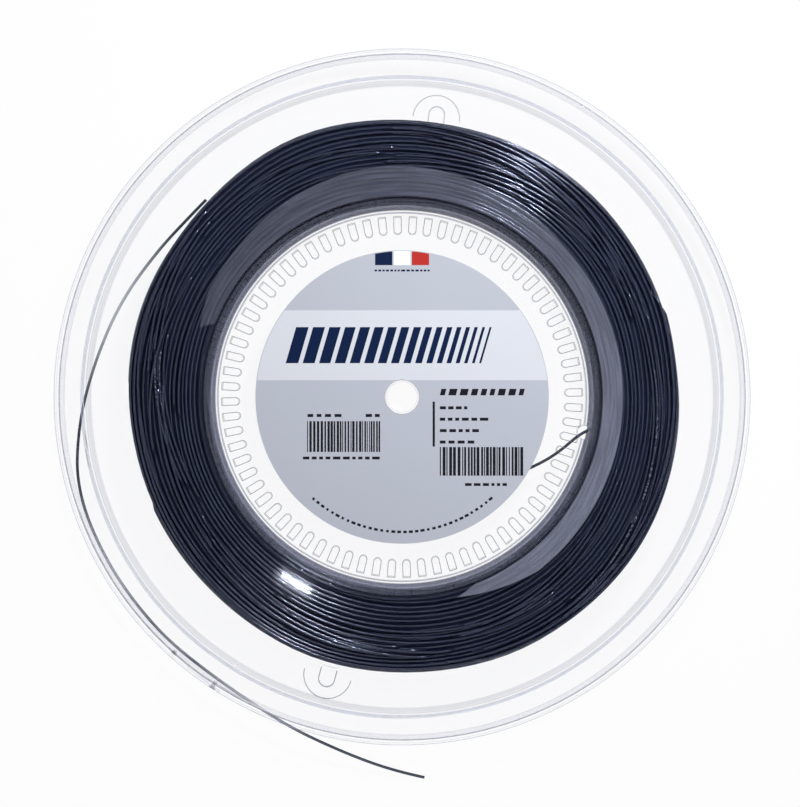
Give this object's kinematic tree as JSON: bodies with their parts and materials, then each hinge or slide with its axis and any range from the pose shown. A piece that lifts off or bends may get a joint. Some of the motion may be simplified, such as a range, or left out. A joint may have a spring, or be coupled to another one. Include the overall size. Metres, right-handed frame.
{
  "type": "string reel",
  "caption": "Flat clear reel holding a winding of dark racket string, with a turning rim band whose slit lets the free end out.",
  "frame": {"origin": "centre of the spool on the plane that it lies on, the rear flange's outer face", "axes": "+Z along the spool's axis from the rear flange to the front flange; +Y towards the top of the label as read from the front; +X to its right"},
  "size_m": [0.2976, 0.3151, 0.022],
  "materials": {
    "clear_plastic": "clear, glossy, moulded",
    "band_film": "clear, glossy, faint violet tint",
    "label_paper": "smooth coated paper with printed bands and bars",
    "string": "smooth dark polyester, satin to gloss"
  },
  "bodies": {
    "spool": {"front_half": "clear_plastic", "rear_half": "clear_plastic", "front_label": "label_paper", "rear_label": "label_paper", "winding_core": "string", "winding_turns": "string", "string_inner_end": "string"},
    "band": {"rim_band": "band_film", "band_peg_first": "band_film", "band_peg_last": "band_film", "string_loose_end": "string"},
    "front_clip": {"front_clip_tongue": "clear_plastic"},
    "rear_clip": {"rear_clip_tongue": "clear_plastic"}
  },
  "joints": [
    {"name": "band_turn", "type": "hinge", "parent": "spool", "child": "band", "pos_m": [0, 0, 0.011], "axis": [0, 0, 1], "continuous": true},
    {"name": "front_clip_bend", "type": "hinge", "parent": "spool", "child": "front_clip", "pos_m": [-0.03077, -0.11485, 0.0213], "axis": [-0.9659, 0.2588, 0], "range_deg": [0, 15], "stiffness_Nm_per_rad": 0.02},
    {"name": "rear_clip_bend", "type": "hinge", "parent": "spool", "child": "rear_clip", "pos_m": [0.01449, 0.11801, 0.0007], "axis": [-0.9925, 0.1219, 0], "range_deg": [0, 15], "stiffness_Nm_per_rad": 0.02}
  ]
}
